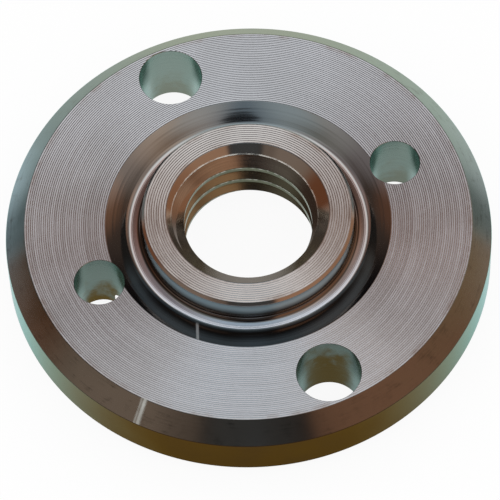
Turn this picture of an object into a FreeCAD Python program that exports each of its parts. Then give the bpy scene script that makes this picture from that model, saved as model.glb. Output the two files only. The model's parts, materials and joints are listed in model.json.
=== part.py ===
import FreeCAD, Part
import math
import os

from FreeCAD import Vector

# Flange nut of an angle grinder: one turned steel piece, lengths in millimetres.
# Its axis is Z, its back face lies on Z = 0 and its hub points up.

# Holes for the pins of a two-pin spanner: the large pair lies along Y, the small pair along X.
large_pin_spacing = 35.0
large_pin_hole = 5.9
small_pin_spacing = 30.0
small_pin_hole = 4.65

# Flange, which leaves a wall of metal between the large pin holes and the rim.
rim_wall = 2.05
flange_thickness = 7.3
clamp_side_chamfer = 1.8
back_side_chamfer = 1.5

# Hub, and the shallow groove around its foot with one sloping wall.
hub_diameter = 19.6
hub_rise = 1.7
hub_edge_break = 0.3
hub_foot_radius = 0.5
groove_depth = 0.85
groove_floor_width = 0.8
groove_wall_angle = 22.0

# Relief in the middle of the back face, so that only the outer ring bears.
relief_diameter = 26.4
relief_depth = 1.6
relief_corner_radius = 0.4

# Spindle hole, bored to the crests of a metric thread and countersunk from both sides.
thread_diameter = 14.0
thread_pitch = 2.0
thread_depth_share = 0.625
countersink_margin = 0.5

# How far the drill runs past the faces of the flange.
drill_overrun = 1.0

# Radii and heights that follow from the sizes above.
flange_radius = large_pin_spacing / 2 + large_pin_hole / 2 + rim_wall
hub_radius = hub_diameter / 2
hub_top = flange_thickness + hub_rise
groove_floor = flange_thickness - groove_depth
groove_floor_inner = hub_radius + hub_foot_radius
groove_floor_outer = groove_floor_inner + groove_floor_width
groove_mouth = groove_floor_outer + groove_depth / math.tan(math.radians(groove_wall_angle))
relief_radius = relief_diameter / 2

# A metric thread is cut to a set share of the height of its sharp 60 degree V.
sharp_thread_height = thread_pitch * math.sqrt(3) / 2
bore_radius = thread_diameter / 2 - thread_depth_share * sharp_thread_height
countersink_radius = thread_diameter / 2 + countersink_margin
countersink_depth = countersink_radius - bore_radius


class Section:
    """Half of the nut's cross-section, drawn from corner to corner beside the axis."""

    def __init__(self, radius, height):
        self.edges = []
        self.end = Vector(radius, 0, height)

    def line_to(self, radius, height):
        corner = Vector(radius, 0, height)
        self.edges.append(Part.makeLine(self.end, corner))
        self.end = corner

    def arc_to(self, radius, height, centre_radius, centre_height):
        corner = Vector(radius, 0, height)
        centre = Vector(centre_radius, 0, centre_height)
        halfway = (self.end - centre) + (corner - centre)
        middle = centre + halfway.normalize() * (corner - centre).Length
        self.edges.append(Part.Arc(self.end, middle, corner).toShape())
        self.end = corner

    def turn(self):
        face = Part.Face(Part.Wire(self.edges))
        return face.revolve(Vector(0, 0, 0), Vector(0, 0, 1), 360)


def draw_back(section):
    """The relief's ceiling, corner and wall, then the flat ring that bears."""
    corner_radius = relief_radius - relief_corner_radius
    corner_height = relief_depth - relief_corner_radius
    section.line_to(corner_radius, relief_depth)
    section.arc_to(relief_radius, corner_height, corner_radius, corner_height)
    section.line_to(relief_radius, 0)
    section.line_to(flange_radius - back_side_chamfer, 0)


def draw_rim(section):
    """The rim between its two chamfers."""
    section.line_to(flange_radius, back_side_chamfer)
    section.line_to(flange_radius, flange_thickness - clamp_side_chamfer)
    section.line_to(flange_radius - clamp_side_chamfer, flange_thickness)


def draw_clamp_side(section):
    """The clamping face, and the groove that falls from it to the foot of the hub."""
    section.line_to(groove_mouth, flange_thickness)
    section.line_to(groove_floor_outer, groove_floor)
    section.line_to(groove_floor_inner, groove_floor)


def draw_hub(section):
    """The hub's rounded foot, its side, its broken edge and its flat top."""
    foot_height = groove_floor + hub_foot_radius
    section.arc_to(hub_radius, foot_height, groove_floor_inner, foot_height)
    section.line_to(hub_radius, hub_top - hub_edge_break)
    section.line_to(hub_radius - hub_edge_break, hub_top)
    section.line_to(countersink_radius, hub_top)


def draw_spindle_hole(section):
    """The countersink from the hub, the bored wall and the countersink from the back."""
    section.line_to(bore_radius, hub_top - countersink_depth)
    section.line_to(bore_radius, relief_depth + countersink_depth)
    section.line_to(countersink_radius, relief_depth)


def turned_body():
    """The nut as it leaves the lathe, before its pin holes are drilled."""
    section = Section(countersink_radius, relief_depth)
    draw_back(section)
    draw_rim(section)
    draw_clamp_side(section)
    draw_hub(section)
    draw_spindle_hole(section)
    return section.turn()


def pin_hole_pair(diameter, spacing, direction):
    """The two drilled holes of one pair, on either side of the axis."""
    depth = flange_thickness + 2 * drill_overrun
    holes = []
    for side in (-1, 1):
        mouth = direction * (side * spacing / 2) - Vector(0, 0, drill_overrun)
        holes.append(Part.makeCylinder(diameter / 2, depth, mouth))
    return holes


def flange_nut():
    """The finished nut."""
    large_holes = pin_hole_pair(large_pin_hole, large_pin_spacing, Vector(0, 1, 0))
    small_holes = pin_hole_pair(small_pin_hole, small_pin_spacing, Vector(1, 0, 0))
    return turned_body().cut(large_holes + small_holes)


os.makedirs("parts", exist_ok=True)
flange_nut().exportStep("parts/flange_nut.step")
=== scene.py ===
# %% [markdown]
# # Flange nut of an angle grinder
# The nut clamps a grinding wheel on the spindle. It is one piece of steel, turned on a lathe,
# drilled for the pins of a spanner, tapped for the spindle and zinc plated. The CAD model gives
# its form; this lesson makes the piece that is looked at: the same form with a real thread, eased
# edges, turning marks and the colours of the plating.

# %% Load the frame
import json
import math
import random

import bmesh
import bpy
from mathutils import Matrix, Vector

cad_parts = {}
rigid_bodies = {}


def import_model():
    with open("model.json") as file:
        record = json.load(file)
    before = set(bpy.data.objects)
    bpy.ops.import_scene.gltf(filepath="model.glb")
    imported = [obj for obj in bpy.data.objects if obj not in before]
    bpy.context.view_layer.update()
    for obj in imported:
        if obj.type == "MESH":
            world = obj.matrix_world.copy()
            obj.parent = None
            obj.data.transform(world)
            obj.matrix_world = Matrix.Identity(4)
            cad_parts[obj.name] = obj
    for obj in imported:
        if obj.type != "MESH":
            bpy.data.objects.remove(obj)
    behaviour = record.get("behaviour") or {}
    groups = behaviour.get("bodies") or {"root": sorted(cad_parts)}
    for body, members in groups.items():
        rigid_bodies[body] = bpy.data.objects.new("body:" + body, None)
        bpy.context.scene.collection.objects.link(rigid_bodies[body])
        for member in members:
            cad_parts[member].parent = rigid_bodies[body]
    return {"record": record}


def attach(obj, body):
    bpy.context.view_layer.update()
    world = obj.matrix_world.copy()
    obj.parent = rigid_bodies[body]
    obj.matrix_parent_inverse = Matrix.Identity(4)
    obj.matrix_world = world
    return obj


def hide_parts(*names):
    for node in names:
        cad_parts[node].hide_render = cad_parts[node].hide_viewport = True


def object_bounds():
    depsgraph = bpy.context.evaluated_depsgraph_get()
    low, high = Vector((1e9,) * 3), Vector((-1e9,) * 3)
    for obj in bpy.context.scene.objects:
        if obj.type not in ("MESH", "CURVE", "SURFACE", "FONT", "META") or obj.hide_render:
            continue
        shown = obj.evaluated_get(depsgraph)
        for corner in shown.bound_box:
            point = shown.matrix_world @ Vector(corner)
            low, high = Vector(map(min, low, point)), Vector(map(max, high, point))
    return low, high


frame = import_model()
cad_low, cad_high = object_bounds()
mm = 0.001
print("CAD box in mm:", [round(size / mm, 3) for size in cad_high - cad_low])

# %% [markdown]
# ## Sizes
# Typed sizes go stale when the CAD model changes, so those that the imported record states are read
# from it: the outside and the height from the box, the holes and the clamping face from the
# mounts. The rest are the turned section's own sizes, in metres through the factor mm.

# %% Sizes that the frame gives
mounts = {mount["name"]: mount for mount in frame["record"]["mounts"]}
thread_mount = mounts["spindle_thread"]["dims"]
large_pair = mounts["large_spanner_holes"]["dims"]
small_pair = mounts["small_spanner_holes"]["dims"]

flange_radius = (cad_high.x - cad_low.x) / 2
hub_top = cad_high.z
clamp_height = mounts["clamp_face"]["pos_m"][2]
bore_radius = thread_mount["r_mm"] * mm
bore_length = thread_mount["length_mm"] * mm
bore_middle = mounts["spindle_thread"]["pos_m"][2]
large_reach = large_pair["spacing_y_mm"] * mm / 2
small_reach = small_pair["spacing_x_mm"] * mm / 2
large_radius = large_pair["hole_r_mm"] * mm
small_radius = small_pair["hole_r_mm"] * mm
print("flange radius, clamp height and bore radius in mm:",
      [round(size / mm, 3) for size in (flange_radius, clamp_height, bore_radius)])

# %% Sizes of the turned section
clamp_chamfer = 1.8 * mm
back_chamfer = 1.5 * mm
hub_radius = 9.8 * mm
hub_edge_break = 0.26 * mm
hub_foot_radius = 0.60 * mm
groove_depth = 0.85 * mm
groove_floor_width = 0.53 * mm
groove_mouth = 13.204 * mm
relief_radius = 13.2 * mm
relief_corner_radius = 0.4 * mm
thread_radius = 7.0 * mm
thread_pitch = 2.0 * mm
countersink_radius = thread_radius + 0.5 * mm
countersink_depth = countersink_radius - bore_radius

relief_depth = bore_middle - bore_length / 2 - countersink_depth
groove_floor = clamp_height - groove_depth
groove_outer = hub_radius + hub_foot_radius + groove_floor_width
print("relief depth and groove floor in mm:",
      [round(size / mm, 3) for size in (relief_depth, groove_floor)])

# %% [markdown]
# ## Finishes
# One piece of steel shows several surfaces: faces with rings from the facing tool, smooth tapers,
# the rim, the drilled holes and the thread. One material with a mask for each would do, but ten
# short ones are easier to follow, so each surface gets its own. They are made empty here, because
# faces are given to a material by its number, and filled further down.

# %% Empty materials
finish_names = ["clamp_face", "hub_face", "smooth_taper", "groove_floor", "hub_side",
                "chamfer", "rim", "pin_hole", "thread", "back"]
finishes = {name: bpy.data.materials.new(name) for name in finish_names}
finish_number = {name: number for number, name in enumerate(finish_names)}
weld = 1e-7


def placed(name, shape):
    """Makes an object of a finished shape and puts it in the scene."""
    mesh = bpy.data.meshes.new(name)
    shape.to_mesh(mesh)
    shape.free()
    made = bpy.data.objects.new(name, mesh)
    bpy.context.scene.collection.objects.link(made)
    return made


def steel_piece(name, shape):
    """A closed object whose slots hold every finish in the same order."""
    bmesh.ops.remove_doubles(shape, verts=shape.verts, dist=weld)
    bmesh.ops.recalc_face_normals(shape, faces=shape.faces)
    piece = placed(name, shape)
    for finish in finishes.values():
        piece.data.materials.append(finish)
    return piece


print("finishes:", ", ".join(finish_names))

# %% [markdown]
# ## The groove round the hub
# A lathe turns a section about an axis, so the section is drawn first, and the groove is its
# finest part. Its wall looks like a plain cone, but the reflections in it tell more: it grows
# steeper on the way down and turns into the floor in a wide hollow, and the floor rises again
# towards the hub. A mirror also shows the least unevenness, so the wall is drawn in short steps
# that waver by a few thousandths of a millimetre, as a tool does. Each corner is a radius, a
# height, the rounding of that corner and the finish of the stretch that follows it.

# %% The groove's wall, hollow and floor
groove_lift = 0.055 * mm
hollow_radius = 1.2 * mm
hollow_angle = math.radians(25)
hollow_steps = 5
wall_steps = 16
wall_waver = 0.0032 * mm
floor_steps = 4
wavering = random.Random(8)


def hollow_point(angle):
    """Radius and height of a point in the hollow, by how steep the hollow is there."""
    radius = groove_outer + hollow_radius * math.sin(angle)
    height = groove_floor + hollow_radius * (1 - math.cos(angle))
    return radius, height


def sloping_wall():
    """Corners down the groove's wall, which grows steeper until it meets the hollow."""
    foot_radius, foot_height = hollow_point(hollow_angle)
    run = groove_mouth - foot_radius
    fall = clamp_height - foot_height
    bow = math.tan(hollow_angle) * run / fall - 1
    corners = []
    for step in range(1, wall_steps + 1):
        share = step / wall_steps
        waver = wavering.uniform(-wall_waver, wall_waver)
        drop = fall * (share + bow * (share * share - share)) + waver
        corners.append((groove_mouth - run * share, clamp_height - drop, 0.0, "smooth_taper"))
    return corners


def hollow():
    """Corners of the hollow, from the wall down to the floor."""
    corners = []
    for step in range(hollow_steps - 1, 0, -1):
        radius, height = hollow_point(hollow_angle * step / hollow_steps)
        corners.append((radius, height, 0.0, "smooth_taper"))
    return corners


def dished_floor():
    """Corners across the groove's floor, which rises more and more towards the hub."""
    corners = []
    for step in range(floor_steps + 1):
        share = step / floor_steps
        radius = groove_outer - groove_floor_width * share
        corners.append((radius, groove_floor + groove_lift * share * share, 0.0, "groove_floor"))
    return corners


groove_corners = sloping_wall() + hollow() + dished_floor()
print("corners of the groove:", len(groove_corners))

# %% [markdown]
# ## The turned section
# The section runs from the back's countersink round the outside to the bore. No edge on a real
# part is perfectly sharp: a rounding of a few hundredths of a millimetre catches the light along
# every edge, so even the crisp corners get one. A Bevel modifier could round them later, but
# rounding the section before it is turned gives every edge its own radius and leaves clean rows
# of faces.

# %% Corners of the section
keen = 0.02 * mm
crisp = 0.06 * mm
hub_edge_round = 0.07 * mm
worn = 0.10 * mm

# The floor's slope is carried on to the hub's side, where the rounding of the foot takes over.
floor_slope = 2 * groove_lift / groove_floor_width
hub_foot = groove_floor + groove_lift + floor_slope * hub_foot_radius
section_corners = [
    (countersink_radius, relief_depth, crisp, "back"),
    (relief_radius, relief_depth, relief_corner_radius, "back"),
    (relief_radius, 0.0, crisp, "back"),
    (flange_radius - back_chamfer, 0.0, worn, "rim"),
    (flange_radius, back_chamfer, worn, "rim"),
    (flange_radius, clamp_height - clamp_chamfer, worn, "chamfer"),
    (flange_radius - clamp_chamfer, clamp_height, worn, "clamp_face"),
    (groove_mouth, clamp_height, keen, "smooth_taper"),
    *groove_corners,
    (hub_radius, hub_foot, hub_foot_radius, "hub_side"),
    (hub_radius, hub_top - hub_edge_break, hub_edge_round, "smooth_taper"),
    (hub_radius - hub_edge_break, hub_top, hub_edge_round, "hub_face"),
    (countersink_radius, hub_top, crisp, "smooth_taper"),
    (bore_radius, hub_top - countersink_depth, crisp, "thread"),
    (bore_radius, relief_depth + countersink_depth, crisp, "back"),
]
print("corners of the section:", len(section_corners))

# %% Rounded corners
small_arc_step = math.radians(24)
large_arc_step = math.radians(10)


def rounded_corner(before, corner, after, radius):
    """Points of the arc that eases one corner of the section, or the corner itself."""
    if radius == 0:
        return [corner]
    to_before = (before - corner).normalized()
    to_after = (after - corner).normalized()
    opening = to_before.angle(to_after)
    centre = corner + (to_before + to_after).normalized() * radius / math.sin(opening / 2)
    start = corner + to_before * radius / math.tan(opening / 2) - centre
    end = corner + to_after * radius / math.tan(opening / 2) - centre
    arc_step = large_arc_step if radius > worn else small_arc_step
    steps = max(2, math.ceil((math.pi - opening) / arc_step))
    swing = start.angle_signed(end)
    return [centre + Matrix.Rotation(-swing * step / steps, 2) @ start for step in range(steps + 1)]


print("roundings in mm:", [round(size / mm, 2) for size in (keen, crisp, hub_edge_round, worn)])

# %% [markdown]
# ## Rings from the facing tool
# A facing tool moves in by a fixed feed each turn and leaves one ring after another, each with a
# long slope and a steep ridge. The rings can be seen one by one in the light, so they are real
# shape here and not only a bump in the material: every faced stretch of the section gets a row of
# shallow scallops, whose depth varies a little from ring to ring.

# %% Scallops across the faced stretches
tool_marks = {
    "clamp_face": {"feed": 0.196 * mm, "depth": 0.0150 * mm},
    "hub_face": {"feed": 0.232 * mm, "depth": 0.0130 * mm},
    "groove_floor": {"feed": 0.155 * mm, "depth": 0.005 * mm},
}
# Points of one scallop: how far along the feed, and the share of the depth there.
scallop_points = [(0.0, 0.0), (0.40, 0.62), (0.68, 1.0)]
depth_spread = 0.08
uneven = random.Random(14)


def scallops(start, end, feed, depth):
    """The points between two ends of a faced stretch, ring by ring, going in towards the axis."""
    rings = round((end - start).length / feed)
    points = []
    for ring in range(rings):
        ring_depth = depth * uneven.uniform(1 - depth_spread, 1 + depth_spread)
        for share, drop in scallop_points:
            point = start.lerp(end, (ring + share) / rings)
            point.y -= ring_depth * drop
            points.append(point)
    return points[1:]


print("feeds in mm:", [round(marks["feed"] / mm, 3) for marks in tool_marks.values()])

# %% The section's points
# What an eased edge is finished with, by the stretch that follows it. Others are smooth tapers.
edge_finish = {"back": "back", "rim": "rim", "chamfer": "rim", "clamp_face": "chamfer"}


def eased_section(corners):
    """The section's points, and the finish of the stretch that starts at each."""
    places = [Vector((radius, height)) for radius, height, rounding, finish in corners]
    count = len(corners)
    arcs = []
    for number, (radius, height, rounding, finish) in enumerate(corners):
        following = places[(number + 1) % count]
        arcs.append(rounded_corner(places[number - 1], places[number], following, rounding))
    points = []
    stretch_finishes = []
    for number, (radius, height, rounding, finish) in enumerate(corners):
        arc = arcs[number]
        edge = edge_finish.get(finish, "smooth_taper")
        points += arc
        stretch_finishes += [edge] * (len(arc) - 1) + [finish]
        if finish in tool_marks:
            marks = scallops(arc[-1], arcs[(number + 1) % count][0], **tool_marks[finish])
            points += marks
            stretch_finishes += [finish] * len(marks)
    return points, stretch_finishes


section_points, section_finishes = eased_section(section_corners)
print("points in the section:", len(section_points))

# %% [markdown]
# ## Turning it
# A Screw modifier could turn the section too. Making the rings of vertices by hand costs no more
# and lets each stretch carry its own finish. The ring has so many steps that its facets can't be
# seen, even in the mirror of a smooth taper.

# %% The turned body
turning_steps = 320


def turned(name, points, stretch_finishes, steps, centre=(0.0, 0.0)):
    """A closed section turned about an upright axis."""
    shape = bmesh.new()
    rings = []
    for step in range(steps):
        angle = 2 * math.pi * step / steps
        across = Vector((math.cos(angle), math.sin(angle)))
        ring = []
        for point in points:
            x = centre[0] + point.x * across.x
            y = centre[1] + point.x * across.y
            ring.append(shape.verts.new((x, y, point.y)))
        rings.append(ring)
    for step in range(steps):
        here = rings[step]
        there = rings[(step + 1) % steps]
        for number, finish in enumerate(stretch_finishes):
            following = (number + 1) % len(points)
            face = shape.faces.new((here[number], there[number], there[following], here[following]))
            face.material_index = finish_number[finish]
    return steel_piece(name, shape)


nut = turned("flange_nut_turned", section_points, section_finishes, turning_steps)
print("turned body:", len(nut.data.polygons), "faces")

# %% [markdown]
# ## The spindle thread
# A tap cuts a groove with 60 degree walls that climbs one pitch per turn. Rings stacked one pitch
# apart would be simpler, but they don't climb and have no start or end. So a cutter of that
# groove's shape is wound up a helix and taken away from the body. It is a solid with flat ends
# that starts and stops in the open air, so the thread runs out of both countersinks as a tapped
# one does. Its root has the flat of a metric thread, an eighth of the pitch.

# %% The thread's cutter
thread_start_angle = math.radians(3)
thread_steps = 120
flank_slope = math.tan(math.radians(30))
root_half = thread_pitch / 16
cutter_inner = bore_radius - 0.35 * mm
mouth_half = root_half + (thread_radius - cutter_inner) * flank_slope
cutter_section = [
    (cutter_inner, -mouth_half),
    (thread_radius, -root_half),
    (thread_radius, root_half),
    (cutter_inner, mouth_half),
]


def wound_cutter(name):
    """The thread's groove as a solid, wound from one turn below the bore to one turn above it."""
    shape = bmesh.new()
    turns = (hub_top - relief_depth) / thread_pitch + 2
    rings = []
    for step in range(math.ceil(turns * thread_steps) + 1):
        turn = step / thread_steps
        angle = thread_start_angle + 2 * math.pi * turn
        height = relief_depth + (turn - 1) * thread_pitch
        rings.append([
            shape.verts.new((radius * math.cos(angle), radius * math.sin(angle), height + offset))
            for radius, offset in cutter_section
        ])
    corners = len(cutter_section)
    for here, there in zip(rings, rings[1:]):
        for number in range(corners):
            following = (number + 1) % corners
            shape.faces.new((here[number], there[number], there[following], here[following]))
    shape.faces.new(rings[0])
    shape.faces.new(rings[-1])
    for face in shape.faces:
        face.material_index = finish_number["thread"]
    return steel_piece(name, shape)


thread_cutter = wound_cutter("thread_cutter")
print("thread cutter:", len(thread_cutter.data.polygons), "faces")

# %% [markdown]
# ## The pin holes
# A drill goes through at four places, and its edges are broken with a touch of a larger drill. A
# plain cylinder would cut the hole too, but leave edges that no light catches. So each cutter is
# a little closed section, turned like the body, with a narrow flare where it crosses the two
# faces.

# %% The pin holes' cutters
hole_flare = 0.04 * mm
flare_past = 0.1 * mm
overrun = 1.0 * mm
hole_steps = 128


def drill(name, radius, x, y):
    """A through hole's shape with flared mouths."""
    mouth = radius + hole_flare + flare_past
    outline = [
        Vector((0.0, -overrun)),
        Vector((mouth, -overrun)),
        Vector((mouth, -flare_past)),
        Vector((radius, hole_flare)),
        Vector((radius, clamp_height - hole_flare)),
        Vector((mouth, clamp_height + flare_past)),
        Vector((mouth, clamp_height + overrun)),
        Vector((0.0, clamp_height + overrun)),
    ]
    return turned(name, outline, ["pin_hole"] * len(outline), hole_steps, (x, y))


drills = [
    drill("drill_large_back", large_radius, 0.0, large_reach),
    drill("drill_large_front", large_radius, 0.0, -large_reach),
    drill("drill_small_right", small_radius, small_reach, 0.0),
    drill("drill_small_left", small_radius, -small_reach, 0.0),
]
print("drills:", [cutter.name for cutter in drills])

# %% [markdown]
# ## Cutting
# Boolean modifiers take the cutters away one after another. The body and the cutters are all
# closed, so the manifold solver can be used: it is quick with so many thin faces, and what it
# leaves is closed again. The result is kept as a plain mesh, and the cutters go.

# %% Thread and holes cut from the body
cutters = [thread_cutter] + drills
for cutter in cutters:
    cut = nut.modifiers.new(cutter.name, "BOOLEAN")
    cut.operation = "DIFFERENCE"
    cut.solver = "MANIFOLD"
    cut.object = cutter
    cutter.hide_render = True

evaluated_nut = nut.evaluated_get(bpy.context.evaluated_depsgraph_get())
cut_mesh = bpy.data.meshes.new_from_object(evaluated_nut)
nut.modifiers.clear()
nut.data = cut_mesh
for cutter in cutters:
    bpy.data.objects.remove(cutter)
print("cut body:", len(nut.data.polygons), "faces")

# %% [markdown]
# ## A clean mesh with sharp corners
# Cutting leaves a few points on top of each other, which are welded. Smooth shading then blends
# the normals across every edge. Next to a narrow rounding that would bend the mirror of a whole
# wide face, so each edge that turns by more than 11 degrees is marked sharp: what stays smooth
# are the fine steps of the turning and of the wide hollows. The piece then rides on the frame's
# root body and takes the place of its solid.

# %% Weld, shade and hand over the nut
cut_weld = 0.0005 * mm
sharp_angle = math.radians(11)

shape = bmesh.new()
shape.from_mesh(nut.data)
bmesh.ops.remove_doubles(shape, verts=shape.verts, dist=cut_weld)
bmesh.ops.dissolve_degenerate(shape, edges=shape.edges, dist=cut_weld)
bmesh.ops.triangulate(shape, faces=[face for face in shape.faces if len(face.verts) > 4])
open_edges = [edge for edge in shape.edges if len(edge.link_faces) != 2]
for face in shape.faces:
    face.smooth = True
print("open edges:", len(open_edges), " volume in mm3:", round(shape.calc_volume() / mm ** 3, 1))
shape.to_mesh(nut.data)
shape.free()

nut.data.set_sharp_from_angle(angle=sharp_angle)
nut.data.calc_loop_triangles()
print("nut:", len(nut.data.polygons), "faces,", len(nut.data.loop_triangles), "triangles")

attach(nut, "root")
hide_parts("flange_nut")

# %% [markdown]
# ## Writing shaders as sums
# Materials are node trees, but a formula is easier to read as a sum than as a web of links. This
# class wraps one socket. Python's operators on it add Math nodes, and its node method adds any
# other.

# %% A socket that can be used in sums
class Wire:
    """One socket of a node tree, used in Python sums like a number."""

    def __init__(self, tree, socket=None):
        self.tree = tree
        self.socket = socket

    def node(self, kind, settings=None, inputs=None, output=0):
        """Adds a node, sets its settings, then its sockets, and gives one of its outputs."""
        made = self.tree.nodes.new(kind)
        for name, value in (settings or {}).items():
            setattr(made, name, value)
        for name, value in (inputs or {}).items():
            if isinstance(value, Wire):
                self.tree.links.new(value.socket, made.inputs[name])
            else:
                made.inputs[name].default_value = value
        return Wire(self.tree, made.outputs[output] if len(made.outputs) else None)

    def math(self, operation, *others):
        """A Math node on this value and the others that it needs."""
        sockets = dict(enumerate((self, *others)))
        return self.node("ShaderNodeMath", {"operation": operation}, sockets)

    def __add__(self, other):
        return self.math("ADD", other)

    def __sub__(self, other):
        return self.math("SUBTRACT", other)

    def __rsub__(self, other):
        return self.math("MULTIPLY_ADD", -1.0, other)

    def __mul__(self, other):
        return self.math("MULTIPLY", other)

    def __truediv__(self, other):
        return self.math("DIVIDE", other)

    def __rtruediv__(self, other):
        return self.math("POWER", -1.0) * other

    def __abs__(self):
        return self.math("ABSOLUTE")

    __radd__ = __add__
    __rmul__ = __mul__

    def ramp(self, low, high, from_value=0.0, to_value=1.0):
        """Goes smoothly from one value to another while this one goes from low to high."""
        limits = {"From Min": low, "From Max": high, "To Min": from_value, "To Max": to_value}
        smooth = {"interpolation_type": "SMOOTHSTEP"}
        return self.node("ShaderNodeMapRange", smooth, {"Value": self, **limits})

    def between(self, first, second):
        """A colour between two, by this value."""
        pair = {name: value if isinstance(value, Wire) else (*value, 1.0)
                for name, value in ((6, first), (7, second))}
        return self.node("ShaderNodeMix", {"data_type": "RGBA"}, {0: self, **pair}, 2)

    def apart(self):
        """The three parts of a vector."""
        parts = self.node("ShaderNodeSeparateXYZ", None, {0: self}).socket.node
        return [Wire(self.tree, socket) for socket in parts.outputs]


def together(x, y, z):
    """A vector from three Wires."""
    return x.node("ShaderNodeCombineXYZ", None, {0: x, 1: y, 2: z})


def noise(place, scale, detail=2.0, roughness=0.5):
    """Soft random values from 0 to 1 over a place."""
    return place.node("ShaderNodeTexNoise", None,
                      {"Vector": place, "Scale": scale, "Detail": detail, "Roughness": roughness})


def emptied(shading):
    """The node tree of a material or a world, cleared, as a Wire to start from."""
    shading.use_nodes = True
    shading.node_tree.nodes.clear()
    return Wire(shading.node_tree)


print("shader sums ready")

# %% [markdown]
# ## Places on a turned part
# What a lathe leaves follows circles, so the finishes are written in the terms of the lathe: how
# far a point is from the axis, how far round it is, and how high. Stains, the tint of the
# plating and the painted light and shade aren't the same all round, so the nut also has a front,
# a fixed direction on it between two pin holes, and points lie more or less to the front and to
# the left. All of this comes from the object's own coordinates, so the marks stay on the nut
# wherever the camera goes.

# %% Lathe coordinates
front_turn = math.radians(-22.72)
nut_front = Vector((math.sin(front_turn), -math.cos(front_turn)))
wide = 0.4
narrow = 0.12


class Finish:
    """The coordinates of one finish, and the patterns that are laid out in them."""

    def __init__(self, name):
        self.place = emptied(finishes[name]).node("ShaderNodeTexCoord", None, None, "Object")
        self.x, self.y, self.z = self.place.apart()
        self.radius = (self.x * self.x + self.y * self.y).math("SQRT")
        self.turn = self.y.math("ARCTAN2", self.x) / (2 * math.pi)
        self.forward = (self.x * nut_front.x + self.y * nut_front.y) / flange_radius
        self.leftward = (self.x * nut_front.y - self.y * nut_front.x) / flange_radius

    def lengthwise(self, scale, stretch, along=None):
        """Noise that is long around the axis and fine along the radius, or along another value."""
        across = (self.radius if along is None else along) / mm
        x_around = self.x / self.radius * stretch
        y_around = self.y / self.radius * stretch
        return noise(together(across * scale, x_around, y_around), 1.0, 3.0)

    def cloud(self, scale=220.0):
        """Soft patches a few millimetres wide."""
        return noise(self.place, scale, 4.0)

    def frontness(self, cloud, low, high, border=wide):
        """From 0 to 1 between two places on the way to the nut's front, with a cloudy border."""
        return (self.forward + (cloud - 0.5) * border).ramp(low, high)

    def above_groove(self, side):
        """How far a point is above the thread groove's upper wall, for 1, or lower wall, for -1."""
        wall = root_half + (thread_radius - self.radius) * flank_slope
        turns = (self.z - relief_depth - wall * side) / thread_pitch
        turns = turns - self.turn + thread_start_angle / (2 * math.pi)
        return turns.math("FRACT") * thread_pitch


print("the nut's front points to", [round(part, 3) for part in nut_front])

# %% [markdown]
# ## Plated metal
# Every finish ends in the same shader: metal with a tint where it is seen at a slant, a roughness
# that varies a little, and a bump for marks that are too fine for the mesh. Where dirt, a dull film
# or a painted highlight lies on the metal, it is less metallic, which is why the Principled shader
# is used and not a plain Glossy one.

# %% The metal's shader
plain_edge = (0.95, 0.95, 0.9)
cool_edge = (0.9, 1.0, 1.0)


def relief(height, depth):
    """A normal that follows a relief: height runs from 0 to 1 and depth says how much that is."""
    bump = {"Height": height, "Strength": 1.0, "Distance": depth}
    return height.node("ShaderNodeBump", None, bump)


def plated(colour, edge_tint, roughness, normal, metallic=1.0):
    """The shader of plated metal, or of a duller film on it."""
    return normal.node("ShaderNodeBsdfPrincipled", None, {
        "Base Color": colour,
        "Metallic": metallic,
        "Roughness": roughness,
        "Specular Tint": (*edge_tint, 1.0),
        "Normal": normal,
    })


def cover(shader):
    """Puts the finished shader on its material."""
    shader.node("ShaderNodeOutputMaterial", None, {"Surface": shader})


print("metal ready")

# %% [markdown]
# ## Faced surfaces
# The rings on the clamping face and on the hub are in the mesh already. Over them run hair lines
# and slow waves that follow the circles and are far too fine for a mesh, so they are a bump.
# Along the borders, where a cloth doesn't reach, a brown stain has stayed in patches.

# %% Clamping face and hub face
cool_steel = [(0.60, 0.605, 0.625), (0.68, 0.69, 0.72)]
warm_steel = [(0.585, 0.545, 0.52), (0.69, 0.655, 0.63)]
brown_stain = (0.34, 0.25, 0.20)


def faced(name, depth, colours, borders, roughness):
    """Metal with hair lines round the axis, finer than the tool's rings, and brown borders."""
    finish = Finish(name)
    hair = finish.lengthwise(20.0, 5.0)
    wave = finish.lengthwise(2.4, 5.0)
    cloud = finish.cloud(160.0)
    blotch = noise(finish.place, 420.0, 5.0, 0.65)
    colour = cloud.ramp(0.3, 0.7).between(*colours)
    for border, width in borders:
        stain = abs(finish.radius - border).ramp(width, 0.2 * width) * blotch.ramp(0.40, 0.75) * 0.7
        colour = stain.between(colour, brown_stain)
    dull = hair * 0.06 + cloud * 0.08 + (roughness - 0.07)
    cover(plated(colour, cool_edge, dull, relief(hair * 0.3 + wave, depth)))


# Each border is a radius and the width of the stain beside it.
clamp_face_borders = [(flange_radius - clamp_chamfer, 0.6 * mm)]
hub_face_borders = [(countersink_radius, 0.5 * mm), (hub_radius - hub_edge_break, 0.6 * mm)]
faced("clamp_face", 0.0035 * mm, cool_steel, clamp_face_borders, roughness=0.18)
faced("hub_face", 0.0055 * mm, warm_steel, hub_face_borders, roughness=0.16)
print("faced finishes ready")

# %% [markdown]
# ## Smooth tapers
# The groove's wall, the countersink and the eased edges were cut with a broad, fine tool and are
# close to a mirror. Painted shade darkens the groove's wall at the front and the hollow at the
# hub's foot, and a painted highlight runs down the wall as a light streak. The countersink is
# tarnished at its sides and darker brown at the front, and a painted highlight runs along the
# ragged burr that the tap has raised where the thread breaks into the countersink. The marks could
# be painted on a picture, but that blurs close up. Here each one is a mask made from places on the
# nut, and a colour that is laid on through it.

# %% Marks on the groove's wall
# Where the painted highlight streak runs down the wall, and half its width.
wall_highlight_left = 5.0 * mm
wall_highlight_half = 0.20 * mm
# Colour of the painted shade on the front of the groove's wall.
wall_shade_colour = (0.19, 0.185, 0.19)
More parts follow.
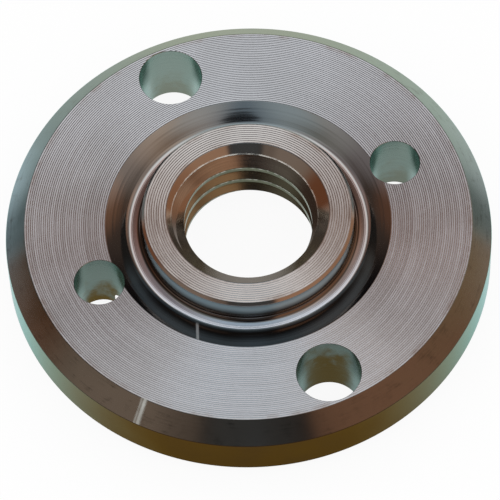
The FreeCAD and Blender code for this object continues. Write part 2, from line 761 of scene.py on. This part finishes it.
# Colour of the painted shade in the hollow at the hub's foot.
foot_shade_colour = (0.27, 0.25, 0.24)
# Colour of the painted highlight streak on the wall.
wall_highlight_colour = (0.30, 0.31, 0.32)


def groove_wall_marks(finish, cloud, colour):
    """Painted shade at the wall's front and hub's foot, and a painted highlight down the wall."""
    radius = finish.radius
    # Painted shade: the wall darkens towards the front.
    wall_shade = finish.frontness(cloud, 0.08, 0.34, narrow)
    wall_shade = wall_shade * radius.ramp(groove_outer, groove_outer + 0.1 * mm)
    wall_shade = wall_shade * radius.ramp(groove_mouth + 0.4 * mm, groove_mouth + 0.2 * mm)
    colour = wall_shade.between(colour, wall_shade_colour)
    # Painted shade in the hollow at the hub's foot.
    foot = abs(radius - hub_radius - 0.22 * mm).ramp(0.26 * mm, 0.16 * mm)
    colour = foot.between(colour, foot_shade_colour)

    # A painted highlight: a lighter, less metallic streak down the wall.
    highlight_streak = abs(finish.leftward * flange_radius - wall_highlight_left)
    highlight_streak = highlight_streak.ramp(wall_highlight_half, 0.3 * wall_highlight_half) * (0.3 + cloud)
    highlight_streak = highlight_streak * (finish.forward * flange_radius).ramp(0.0, 1.0 * mm)
    highlight_streak = highlight_streak * radius.ramp(groove_outer + 0.07 * mm, groove_outer + 0.57 * mm)
    highlight_streak = highlight_streak * radius.ramp(groove_mouth + 0.1 * mm, groove_mouth - 0.1 * mm)
    return highlight_streak.between(colour, wall_highlight_colour), highlight_streak


print("scratch on the groove's wall:", wall_highlight_left / mm, "mm left of the front")

# %% Marks in the countersink
tarnish_colour = (0.485, 0.41, 0.34)
# Colour of the painted highlight along the burr.
burr_highlight_colour = (0.70, 0.68, 0.63)
# Colour of the darker brown at the front of the countersink.
front_dark_brown = (0.14, 0.105, 0.08)


def countersink_marks(finish, cloud, colour):
    """Tarnish at the sides, a painted highlight along the thread's ragged edge, and darker brown at
    the front.
    """
    inside = finish.radius.ramp(countersink_radius + 0.1 * mm, countersink_radius)
    tarnish = finish.frontness(cloud, -0.27, -0.10, narrow) * inside
    colour = tarnish.between(colour, tarnish_colour)

    # A painted highlight along the ragged edge where the thread breaks into the countersink.
    burr_highlight = finish.above_groove(1).ramp(0.20 * mm, 0.08 * mm)
    burr_highlight = burr_highlight * finish.radius.ramp(countersink_radius - 0.1 * mm, countersink_radius - 0.2 * mm)
    burr_highlight = burr_highlight * noise(finish.place, 1100.0, 3.0).ramp(0.36, 0.58, 0.25, 1.0)
    burr_highlight = burr_highlight * finish.frontness(cloud, 0.12, -0.28, narrow)
    colour = burr_highlight.between(colour, burr_highlight_colour)

    # Darker brown at the front of the countersink.
    front_darkening = finish.frontness(cloud, -0.02, 0.12, narrow) * inside
    return front_darkening.between(colour, front_dark_brown), burr_highlight, front_darkening


print("countersink marks inside a radius of", round(countersink_radius / mm, 2), "mm")

# %% Groove wall, countersink and eased edges
far_taper = (0.56, 0.57, 0.56)
near_taper = (0.58, 0.56, 0.54)


def taper_finish():
    """Smooth metal with fine rings, the marks that use has left on it, painted shade and
    highlights.
    """
    finish = Finish("smooth_taper")
    rings = finish.lengthwise(9.0, 0.8)
    hair = finish.lengthwise(30.0, 3.0)
    cloud = finish.cloud()
    colour = finish.frontness(cloud, -0.6, 0.6).between(far_taper, near_taper)
    colour, highlight_streak = groove_wall_marks(finish, cloud, colour)
    colour, burr_highlight, front_darkening = countersink_marks(finish, cloud, colour)
    metallic = 1 - highlight_streak * 0.7 - burr_highlight * 0.75 - front_darkening * 0.3
    dull = rings * 0.04 + hair * 0.05 + cloud * 0.04 + 0.04
    normal = relief(rings + hair * 0.25, 0.0014 * mm)
    cover(plated(colour, plain_edge, dull, normal, metallic))


taper_finish()
print("smooth tapers ready")

# %% [markdown]
# ## Groove floor and hub side
# The groove's floor shines as a ring round the hub, cool and bright at the front and brownish at
# the far side, which is partly the plating's tint and partly painted reflection. The hub's side is
# only half metallic: nearly black low down, which is painted shade in the groove, and at the far
# side, with a blue band high up at the front that is partly a film of plating and partly painted
# reflection. Two materials could meet at a line, but the change is gradual on the real part, so a
# cloudy mask blends the two states of each surface.

# %% Groove floor
far_floor = (0.56, 0.48, 0.46)
near_floor = (0.66, 0.69, 0.75)


def groove_floor_finish():
    """The groove's floor, brightest at the front, partly by painted reflection."""
    finish = Finish("groove_floor")
    marks = finish.lengthwise(7.0, 0.6)
    cloud = finish.cloud()
    # Brighter towards the front: partly the plating's tint, partly painted reflection.
    bright = finish.frontness(cloud, 0.0, 0.42, 0.16)
    colour = bright.between(far_floor, near_floor)
    dull = marks * 0.05 + cloud * 0.06 + 0.07
    cover(plated(colour, cool_edge, dull, relief(marks, 0.0022 * mm)))


groove_floor_finish()
print("groove floor ready")

# %% Hub side
# Blue band: partly a film of plating, partly painted reflection. Dark: painted shade low down, and
# the far side.
blue_film_and_reflection = [(0.40, 0.56, 0.65), (0.50, 0.64, 0.72)]
dark_side_and_shade = (0.05, 0.048, 0.046)


def hub_side_finish():
    """The hub's side: a blue band below the top, partly film, partly painted reflection; painted
    shade below.
    """
    finish = Finish("hub_side")
    marks = finish.lengthwise(8.0, 1.5, finish.z)
    cloud = finish.cloud(300.0)
    # The blue band's colour is partly painted reflection.
    film = (marks * 0.6 + cloud * 0.4).ramp(0.3, 0.7).between(*blue_film_and_reflection)
    height = finish.z + (cloud - 0.5) * (0.3 * mm)
    # Below the band, painted shade in the groove.
    band = height.ramp(clamp_height - 0.2 * mm, hub_top - 0.8 * mm)
    band = band * height.ramp(hub_top - 0.15 * mm, hub_top - 0.7 * mm, 0.55, 1.0)
    film_and_reflection_mask = band * finish.frontness(cloud, 0.02, 0.26, narrow)
    colour = film_and_reflection_mask.between(dark_side_and_shade, film)
    dull = marks * 0.06 + cloud * 0.06 + 0.10
    cover(plated(colour, (0.8, 0.95, 1.0), dull, relief(marks, 0.0010 * mm), 0.5))


hub_side_finish()
print("hub side ready")

# %% [markdown]
# ## Chamfer
# The tint of zinc plating goes with the thickness of its film. The Principled shader has a thin
# film setting for such colours, but tints that are written down are easier to steer and can be
# baked for the export. The chamfer is brown to grey at the front, teal at the sides and olive to
# grey green at the far side, which is partly the plating's tint and partly painted reflection.
# Small smudges darken it, and a painted highlight, a light streak with a thin gap in its middle,
# crosses it a little to the left of the front.

# %% Chamfer on the clamping side
# Where the painted highlight streak crosses the chamfer, and the gap in it, as angles from the
# front.
chamfer_highlight_turn = 0.503
highlight_gap_turn = 0.509
# Chamfer tints, partly the plating's own and partly painted reflection.
olive = (0.20, 0.22, 0.13)
grey_green = (0.31, 0.38, 0.335)
deep_teal = (0.19, 0.25, 0.25)
right_teal = (0.35, 0.41, 0.40)
left_teal = (0.36, 0.48, 0.53)
front_brown = (0.275, 0.25, 0.23)
front_grey = (0.42, 0.42, 0.39)
smudge_colour = (0.10, 0.10, 0.09)
# Colour of the painted highlight streak.
chamfer_highlight_colour = (0.52, 0.53, 0.50)


def chamfer_finish():
    """The chamfer's tints, partly painted reflection, its smudges and its painted highlight streak.
    """
    finish = Finish("chamfer")
    leftward = finish.leftward
    marks = finish.lengthwise(6.0, 1.5)
    hair = finish.lengthwise(25.0, 5.0)
    cloud = finish.cloud()
    smudge = noise(finish.place, 800.0, 5.0, 0.65)
    aside = abs(leftward) + (cloud - 0.5) * 0.15
    at_front = finish.frontness(cloud, 0.15, 0.8)
    at_side = aside.ramp(0.8, 1.02)

    slant_tint = leftward.ramp(-0.5, 0.6).between(grey_green, deep_teal)
    far_tint = aside.ramp(0.1, 0.9).between(olive, slant_tint)
    side_tint = leftward.ramp(-0.3, 0.3).between(right_teal, left_teal)
    front_tint = leftward.ramp(-0.35, 0.3).between(front_brown, front_grey)
    plating = at_front.between(at_side.between(far_tint, side_tint), front_tint)
    clean_and_lit = (smudge * 0.5 + hair * 0.3 + marks * 0.2).ramp(0.25, 0.5)
    plating = clean_and_lit.between(smudge_colour, plating)

    # A painted highlight: a lighter, less metallic streak across the chamfer.
    turn = leftward.math("ARCTAN2", finish.forward)
    gap = abs(turn - highlight_gap_turn).ramp(0.007, 0.001)
    highlight_streak = abs(turn - chamfer_highlight_turn).ramp(0.020, 0.006) * (1 - gap * 0.6)
    highlight_streak = highlight_streak * (0.4 + smudge * 1.2) * 0.85
    colour = highlight_streak.between(plating, chamfer_highlight_colour)
    metallic = 1 - highlight_streak * 0.75 - at_side * (1 - at_front) * 0.10
    dull = hair * 0.05 + cloud * 0.06 + 0.07
    cover(plated(colour, (0.80, 0.85, 0.80), dull, relief(marks, 0.0006 * mm), metallic))


chamfer_finish()
print("chamfer ready")

# %% [markdown]
# ## Rim
# The rim shows the strongest tints: golden brown at the front and pale sea green at the sides and
# the far side, partly the plating's tint and partly painted reflection of the table. They differ in
# what they show at a slant too, so the rim has two metals and a mix of them. Both are darkened
# below, on the back's chamfer, by a painted contact shadow.

# %% Rim and the back's chamfer
# Rim tints, partly the plating's and partly painted reflection, each with a copy in painted contact
# shadow.
golden_brown = [(0.058, 0.030, 0.011), (0.048, 0.025, 0.013)]
golden_in_shadow = (0.012, 0.011, 0.014)
sea_green = [(0.28, 0.42, 0.37), (0.36, 0.50, 0.46)]
green_in_shadow = (0.10, 0.13, 0.14)


def rim_finish():
    """The rim: golden brown at the front, pale sea green elsewhere, painted contact shadow low
    down.
    """
    finish = Finish("rim")
    marks = finish.lengthwise(10.0, 1.5, finish.z)
    cloud = finish.cloud()
    patches = cloud.ramp(0.3, 0.7)
    # Painted contact shadow: darker at and below the back's chamfer.
    height = finish.z + (cloud - 0.5) * (0.12 * mm)
    clean_and_lit = height.ramp(back_chamfer - 0.05 * mm, back_chamfer + 0.2 * mm)
    golden = clean_and_lit.between(golden_in_shadow, patches.between(*golden_brown))
    green = clean_and_lit.between(green_in_shadow, patches.between(*sea_green))

    dull = marks * 0.06 + cloud * 0.06 + 0.10
    normal = relief(marks, 0.0010 * mm)
    front_metal = plated(golden, (0.9, 0.75, 0.5), dull, normal)
    side_metal = plated(green, (0.6, 1.0, 1.0), dull, normal)
    facing = finish.frontness(cloud, 0.1, 0.95, narrow)
    cover(facing.node("ShaderNodeMixShader", None, {0: facing, 1: side_metal, 2: front_metal}))


rim_finish()
print("rim ready")

# %% [markdown]
# ## Thread
# The thread's flanks are a brownish grey that turns olive low down. Its crests, which are what
# the drill left of the bore, are greener, dark at the far side and pale towards the front, which is
# partly painted reflection. The tap has nicked their upper edges, and a painted highlight runs
# along them. The nicks are a fine noise that moves the border of each mask.

# %% Thread
flank_brown = [(0.42, 0.37, 0.32), (0.60, 0.54, 0.47)]
flank_olive = (0.42, 0.41, 0.30)
far_crest = (0.15, 0.165, 0.11)
near_crest = (0.50, 0.56, 0.50)
# Colour of the painted highlight along the crests' edges.
lip_highlight_colour = (0.62, 0.63, 0.57)


def thread_finish():
    """The thread's flanks and crests, and a painted highlight along the crests' nicked edges."""
    finish = Finish("thread")
    marks = finish.lengthwise(8.0, 1.2)
    cloud = finish.cloud()
    nicks = noise(finish.place, 2600.0, 3.0)
    brown = (marks * 0.5 + cloud * 0.5).ramp(0.3, 0.7).between(*flank_brown)
    low = finish.z.ramp(hub_top - 1.6 * mm, hub_top - 4.0 * mm)
    flank = low.between(brown, flank_olive)
    # Crests dark at the far side and pale towards the front: partly the plating's tint, partly
    # painted reflection.
    near = finish.frontness(cloud, -0.3, 0.1, narrow)
    crest = near.between(far_crest, near_crest)

    ragged_radius = finish.radius + (nicks - 0.5) * (0.09 * mm)
    on_crest = ragged_radius.ramp(bore_radius + 0.05 * mm, bore_radius + 0.01 * mm)
    colour = on_crest.between(flank, crest)
    below_edge = thread_pitch - finish.above_groove(-1)
    # A painted highlight along the nicked upper edges of the crests.
    lip_highlight = on_crest * below_edge.ramp(0.20 * mm, 0.06 * mm) * nicks.ramp(0.40, 0.60)
    colour = lip_highlight.between(colour, lip_highlight_colour)
    dull = marks * 0.08 + cloud * 0.06 + 0.13
    cover(plated(colour, (0.95, 1.0, 0.95), dull, relief(marks, 0.002 * mm), 1 - lip_highlight * 0.7))


thread_finish()
print("thread ready")

# %% [markdown]
# ## Pin holes
# The drilled walls are teal, with coarse rings from the drill. Low on the wall that faces the
# front the plating is golden, most of all in the front holes; the teal and the gold are partly the
# plating's tint and partly painted reflection. Painted shade darkens the holes towards the nut's
# front and high on the walls beside the far wall. To know where on its wall a point lies, the
# material takes the middle of the nearest hole away from the point's place.

# %% Pin holes
grey_teal = (0.41, 0.52, 0.47)
pale_teal = (0.68, 0.84, 0.81)
golden_plating = (0.27, 0.155, 0.014)
black = (0.0, 0.0, 0.0)


def pin_hole_finish():
    """The drilled holes: teal that turns golden low on the far wall, partly painted reflection, and
    painted shade.
    """
    finish = Finish("pin_hole")
    forward = finish.forward
    in_small_hole = (abs(finish.x) - abs(finish.y)).math("GREATER_THAN", 0.0)
    across = finish.x - finish.x.math("SIGN") * in_small_hole * small_reach
    along = finish.y - finish.y.math("SIGN") * (1 - in_small_hole) * large_reach
    from_middle = (across * across + along * along).math("SQRT")
    far_wall = (across * -nut_front.x - along * nut_front.y) / from_middle
    deep = 1 - finish.z / clamp_height
    marks = finish.lengthwise(4.5, 1.2, finish.z)
    hair = finish.lengthwise(18.0, 4.0, finish.z)
    cloud = noise(finish.place, 700.0, 5.0, 0.6)
    uneven_cloud = cloud - 0.5

    # Paler teal at the sides and gold low on the far wall: partly the plating's tint, partly
    # painted reflection.
    flank = far_wall.ramp(0.88, 0.62) * (deep + uneven_cloud * 0.3).ramp(0.35, 0.75)
    teal = flank.between(grey_teal, pale_teal)
    gilt = (deep + forward.ramp(0.1, 0.75) * 0.62 + uneven_cloud * 0.9).ramp(0.45, 0.95)
    gilt = gilt * (far_wall + uneven_cloud * 0.5).ramp(0.5, 0.95)
    gilt = gilt * forward.ramp(-0.35, 0.15, 0.3, 1.0)
    plating = gilt.between(teal, golden_plating)

    # Painted shade: darker towards the nut's front and high on the walls beside the far wall.
    shade = forward.ramp(-0.8, 0.1, 1.0, 0.68) * forward.ramp(0.2, 0.8, 1.0, 0.65)
    shade = shade * (1 - far_wall.ramp(0.8, 0.55) * deep.ramp(0.6, 0.25) * 0.6)
    shade = shade * (0.8 + (marks * 0.5 + hair * 0.3 + cloud * 0.2) * 0.4)
    colour = shade.between(black, plating)
    dull = hair * 0.08 + cloud * 0.08 + 0.16
    cover(plated(colour, (0.8, 1.0, 0.97), dull, relief(marks + hair * 0.6, 0.008 * mm)))


pin_hole_finish()
print("pin holes ready")

# %% [markdown]
# ## Back
# The back is plain: faced once with a quick feed. Hardly anyone looks at it, so its rings are a
# bump.

# %% Back
feeds_per_mm = 1 / 0.18
far_back = (0.60, 0.60, 0.56)
near_back = (0.56, 0.55, 0.52)


def back_finish():
    """The back, its relief and its countersink: plain faced steel."""
    finish = Finish("back")
    marks = finish.lengthwise(feeds_per_mm, 1.5)
    hair = finish.lengthwise(4 * feeds_per_mm, 5.0)
    cloud = finish.cloud()
    colour = finish.frontness(cloud, -0.6, 0.6).between(far_back, near_back)
    dull = hair * 0.05 + cloud * 0.06 + 0.19
    cover(plated(colour, plain_edge, dull, relief(marks, 0.0040 * mm)))


back_finish()
print("back ready")

# %% [markdown]
# ## White table and sky
# The nut lies on a plain white table under an even white sky, which gives the soft shadow and the
# plain light level. The camera sees the table as nearly pure white. In the metal only the paper
# close to the nut is bright, and the table beyond it is grey.

# %% Table
table_half = 4.0
paper_edge = (0.025, 0.09)
paper_white = (0.95, 0.95, 0.95)
table_grey = (0.16, 0.17, 0.165)
white_to_camera = 0.93
white_in_metal = 0.4
plain_white = {"Color": (1.0, 1.0, 1.0, 1.0), "Strength": 1.0}

shape = bmesh.new()
bmesh.ops.create_grid(shape, x_segments=1, y_segments=1, size=table_half)
table_top = placed("table_top", shape)

paper = bpy.data.materials.new("white_paper")
paper_wire = emptied(paper)
place = paper_wire.node("ShaderNodeTexCoord", None, None, "Object")
reach = place.node("ShaderNodeVectorMath", {"operation": "LENGTH"}, {0: place}, "Value")
seen_by_camera = paper_wire.node("ShaderNodeLightPath", None, None, "Is Camera Ray")
seen_in_metal = paper_wire.node("ShaderNodeLightPath", None, None, "Is Glossy Ray")
seen_through = paper_wire.node("ShaderNodeLightPath", None, None, "Is Transmission Ray")
off_paper = reach.ramp(*paper_edge) * (1 - seen_by_camera)
paper_colour = off_paper.between(paper_white, table_grey)
dull_paper = paper_colour.node("ShaderNodeBsdfDiffuse", None, {"Color": paper_colour})
white = paper_wire.node("ShaderNodeEmission", None, plain_white)
whiteness = seen_by_camera * white_to_camera
whiteness = whiteness + (seen_in_metal + seen_through) * (1 - off_paper) * white_in_metal
cover(whiteness.node("ShaderNodeMixShader", None, {0: whiteness, 1: dull_paper, 2: white}))
table_top.data.materials.append(paper)
print("table:", 2 * table_half, "m wide")

# %% Sky
sky = bpy.data.worlds.new("white_sky")
sky_wire = emptied(sky)
sky_light = sky_wire.node("ShaderNodeBackground", None, plain_white)
sky_wire.node("ShaderNodeOutputWorld", None, {"Surface": sky_light})
bpy.context.scene.world = sky
print("sky ready")

# %% [markdown]
# ## Reflection tent
# Polished metal shows its surroundings more than its own colour, so a photographer hangs cards
# and cloth round the table. Lamps could do it from a few places, but they would light the table
# as well. The tent lights nothing: it is a half sphere that only reflections see, turned so that
# its near side is at the nut's front. Its inside is painted by direction, with a bearing that
# counts from straight behind the nut and an elevation above the table, both in degrees.

# %% The tent
tent_radius = 1.2
tent_hem = -0.01

shape = bmesh.new()
bmesh.ops.create_uvsphere(shape, u_segments=64, v_segments=32, radius=tent_radius)
below = [vert for vert in shape.verts if vert.co.z < tent_hem]
bmesh.ops.delete(shape, geom=below, context="VERTS")
bmesh.ops.reverse_faces(shape, faces=shape.faces)
tent = placed("reflection_tent", shape)
tent.rotation_euler.z = front_turn
for rays in ("camera", "diffuse", "shadow", "transmission", "volume_scatter"):
    setattr(tent, "visible_" + rays, False)
print("tent:", len(tent.data.polygons), "faces")

# %% [markdown]
# ## Cards in the tent
# A card is a round spot of light with a soft edge. Each could be a bright plane of its own, but a
# spot painted on the cloth needs no placing and turning. Most come in pairs, as a rule with the
# warmer one on the right, and small ones low down serve the chamfer and the far tapers. The last
# has a negative colour and takes light away behind the nut, as black cloth does.

# %% Cards
def card(direction, bearing, elevation, inner, outer):
    """The mask of one card: whole inside its inner angle and gone outside its outer one."""
    turn = math.radians(bearing)
    rise = math.radians(elevation)
    flat = math.cos(rise)
    middle = Vector((flat * math.sin(turn), flat * math.cos(turn), math.sin(rise)))
    both = {0: direction, 1: middle}
    facing = direction.node("ShaderNodeVectorMath", {"operation": "DOT_PRODUCT"}, both, "Value")
    return facing.ramp(math.cos(math.radians(outer)), math.cos(math.radians(inner)))


def lit(painted, mask, colour):
    """Adds the light that comes through a mask to what is painted already."""
    sockets = {0: mask, 1: colour, 2: painted}
    return mask.node("ShaderNodeVectorMath", {"operation": "MULTIPLY_ADD"}, sockets)


# Bearing, which is positive to the right, elevation, inner and outer angle, colour.
light_cards = [
    (24, 55, 6, 17, (0.11, 0.075, 0.06)),
    (-24, 55, 6, 17, (0.13, 0.085, 0.075)),
    (60, 64, 6, 20, (0.24, 0.20, 0.18)),
    (-60, 64, 6, 20, (0.15, 0.14, 0.15)),
    (110, 66, 6, 22, (0.18, 0.12, 0.08)),
    (-110, 66, 6, 22, (0.11, 0.12, 0.11)),
    (90, 78, 7, 15, (0.09, 0.09, 0.08)),
    (-90, 78, 7, 15, (0.07, 0.075, 0.075)),
    (49, 50, 4, 12, (0.13, 0.055, 0.025)),
    (-45, 48, 4, 12, (0.07, 0.02, 0.005)),
    (77, 37, 5, 14, (0.12, 0.10, 0.08)),
    (59, 0, 3, 9, (0.12, 0.16, 0.172)),
    (-59, 0, 3, 9, (0.09, 0.087, 0.083)),
    (180, 31, 10, 22, (0.010, 0.025, 0.032)),
    (180, 15, 5, 13, (0.06, 0.09, 0.12)),
    (0, 12, 22, 50, (-0.042, -0.026, -0.017)),
]
print("cards:", len(light_cards))

# %% [markdown]
# ## Painting the tent
# Larger things are drawn with ramps. A cool window with two panes stands behind the nut and gives
# the clamping face its light, and two patches of sky lie above. Brown curtains hang at both
# sides, taller on the right, with hems that climb towards the front. A pale strip runs low behind
# the nut and low at the front. At last a black card is laid over all, high above the front.

# %% Paint by direction
cloth_brown = (0.055, 0.038, 0.030)
black_card = (176, 67.5, 9, 10.5)
black_card_colour = (0.012, 0.013, 0.016)


def windows_and_sky(painted, x, y, elevation):
    """The window's two panes behind the nut, and the sky above it, far and near."""
    behind = y.ramp(0.0, 0.08)
    low_pane = behind * abs(x).ramp(0.168, 0.025) * elevation.ramp(40, 47) * elevation.ramp(66, 54)
    high_pane = behind * abs(x - 0.012).ramp(0.24, 0.06)
    high_pane = high_pane * elevation.ramp(54, 66) * elevation.ramp(79, 71)
    far_sky = elevation.ramp(72, 82) * y.ramp(-0.09, 0.03) * abs(x).ramp(0.30, 0.12)
    near_sky = elevation.ramp(60, 75) * y.ramp(0.0, -0.10)
    painted = lit(painted, low_pane, (0.84, 0.86, 0.875))
    painted = lit(painted, high_pane, (0.84, 0.88, 0.91))
    painted = lit(painted, far_sky, (0.30, 0.40, 0.47))
    return lit(painted, near_sky, (0.10, 0.155, 0.20))


def curtains(painted, on_right, elevation, sideways):
    """Brown curtains at the sides, each with another tint towards the front."""
    above_hem = elevation - (sideways - 59) * 0.33
    curtain = above_hem.ramp(-9, -3) * sideways.ramp(44, 58) * sideways.ramp(162, 156)
    right = curtain * on_right * above_hem.ramp(40, 30)
    left = curtain * (1 - on_right) * above_hem.ramp(16, 8) * sideways.ramp(150, 138, 0.65, 1.0)
    painted = lit(painted, right, (0.32, 0.165, 0.095))
    painted = lit(painted, right * sideways.ramp(98, 120), (0.045, 0.03, 0.018))
    painted = lit(painted, left, (0.15, 0.05, 0.018))
    return lit(painted, left * sideways.ramp(86, 110), (0.05, 0.10, 0.10))


def low_strips(painted, elevation, sideways):
    """Pale light close to the table, behind the nut and at the front."""
    low_behind = elevation.ramp(24, 17) * sideways.ramp(64, 52)
    low_front = elevation.ramp(18, 12) * sideways.ramp(112, 125)
    return lit(painted, low_behind + low_front, (0.36, 0.36, 0.37))


def paint_tent():
    """The tent's cloth, by direction: x to the right, y away from the front and z up."""
    cloth = bpy.data.materials.new("tent_cloth")
    cloth_wire = emptied(cloth)
    cloth.cycles.emission_sampling = "NONE"
    place = cloth_wire.node("ShaderNodeTexCoord", None, None, "Object")
    direction = place.node("ShaderNodeVectorMath", {"operation": "NORMALIZE"}, {0: place})
    x, y, z = direction.apart()
    elevation = z.math("ARCSINE") * (180 / math.pi)
    sideways = abs(x.math("ARCTAN2", y) * (180 / math.pi))
    on_right = x.math("GREATER_THAN", 0.0)

    painted = windows_and_sky(cloth_brown, x, y, elevation)
    painted = curtains(painted, on_right, elevation, sideways)
    painted = low_strips(painted, elevation, sideways)
    for *spot, colour in light_cards:
        painted = lit(painted, card(direction, *spot), colour)
    painted = card(direction, *black_card).between(painted, black_card_colour)
    cover(painted.node("ShaderNodeEmission", None, {"Color": painted, "Strength": 1.0}))
    return cloth


tent.data.materials.append(paint_tent())
print("tent painted")

# %% [markdown]
# ## Camera
# The photograph's view was worked out from the nut's circles: how flat each one looks gives the
# elevation, and how much smaller the far ones are gives the distance. A long lens looks down on
# the nut from its front, and is rolled by a little.

# %% The photograph's view
camera_elevation = math.radians(59.395)
camera_roll = math.radians(-2.26)
camera_distance = 408.33 * mm
lens_length = 317.15
view_middle = Vector((0.0, 0.0, 5.0 * mm))
aim_right = 0.1244 * mm
aim_up = -1.431 * mm

around_axis = Matrix.Rotation(front_turn, 3, "Z")
right = around_axis @ Vector((1.0, 0.0, 0.0))
back = around_axis @ Vector((0.0, -math.cos(camera_elevation), math.sin(camera_elevation)))
up = back.cross(right)
rolled_right = right * math.cos(camera_roll) + up * math.sin(camera_roll)
rolled_up = up * math.cos(camera_roll) - right * math.sin(camera_roll)

camera_place = view_middle + back * camera_distance
aim = view_middle + rolled_right * aim_right + rolled_up * aim_up
look = (camera_place - aim).normalized()
level = (rolled_right - look * rolled_right.dot(look)).normalized()
upright = look.cross(level)

camera_data = bpy.data.cameras.new("camera")
camera_data.lens = lens_length
camera_data.sensor_width = 36.0
camera_data.clip_start = 0.01
camera_data.clip_end = 10.0
camera = bpy.data.objects.new("camera", camera_data)
pose = Matrix((level, upright, look)).transposed().to_4x4()
pose.translation = camera_place
camera.matrix_world = pose
bpy.context.scene.collection.objects.link(camera)
bpy.context.scene.camera = camera
bpy.context.scene.view_settings.view_transform = "Standard"
print("camera at", [round(value, 4) for value in camera_place])
